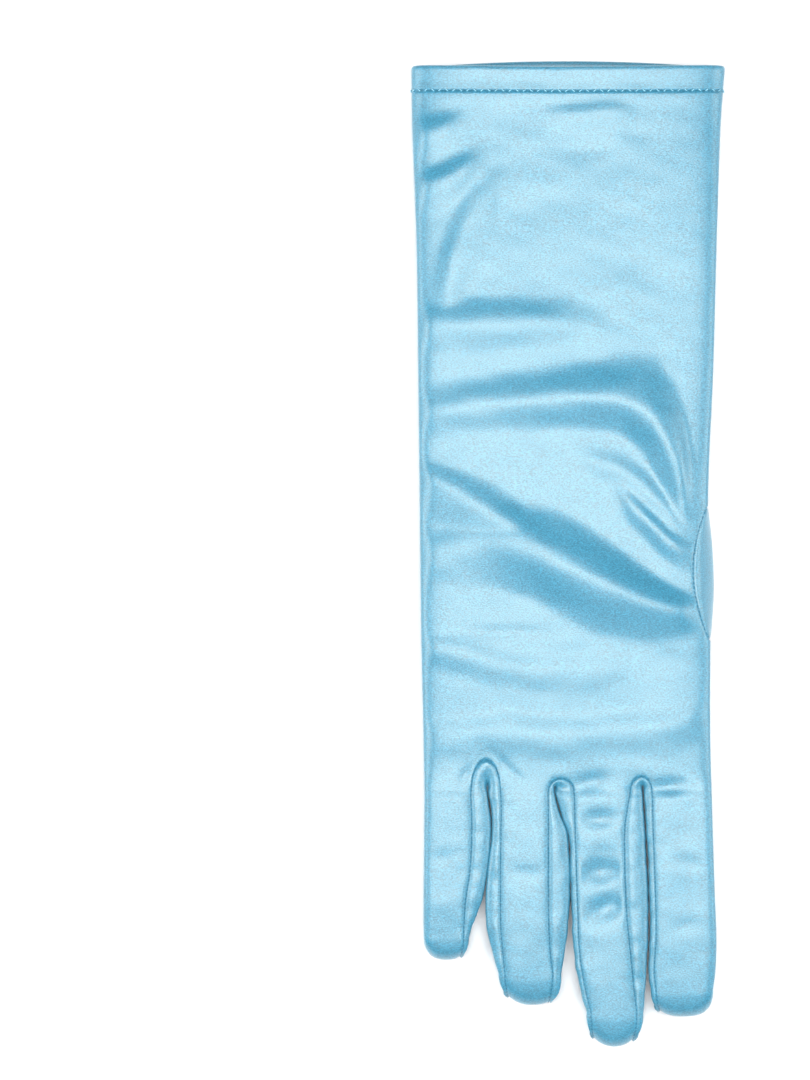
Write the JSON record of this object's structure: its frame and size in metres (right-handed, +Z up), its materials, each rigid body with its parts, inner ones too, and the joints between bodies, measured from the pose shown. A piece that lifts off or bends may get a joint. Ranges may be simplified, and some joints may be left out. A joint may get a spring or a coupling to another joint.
{
  "type": "costume glove",
  "caption": "Long satin dress glove for the right hand, lying palm down: sleeve, hand, fourchettes between the fingers, thumb folded under, double cuff hem.",
  "frame": {"origin": "middle of the glove's box, on the surface that it lies on", "axes": "+Y along the sleeve towards the cuff's mouth, +Z up out of the back of the hand, +X towards the thumb side"},
  "size_m": [0.1, 0.3139, 0.0172],
  "materials": {
    "satin": "light blue stretch satin with a soft metallic sheen"
  },
  "bodies": {
    "root": {"hand_panel": "satin", "fourchette_little_ring": "satin", "fourchette_ring_middle": "satin", "fourchette_middle_index": "satin", "thumb": "satin", "cuff_hem": "satin"}
  },
  "joints": []
}
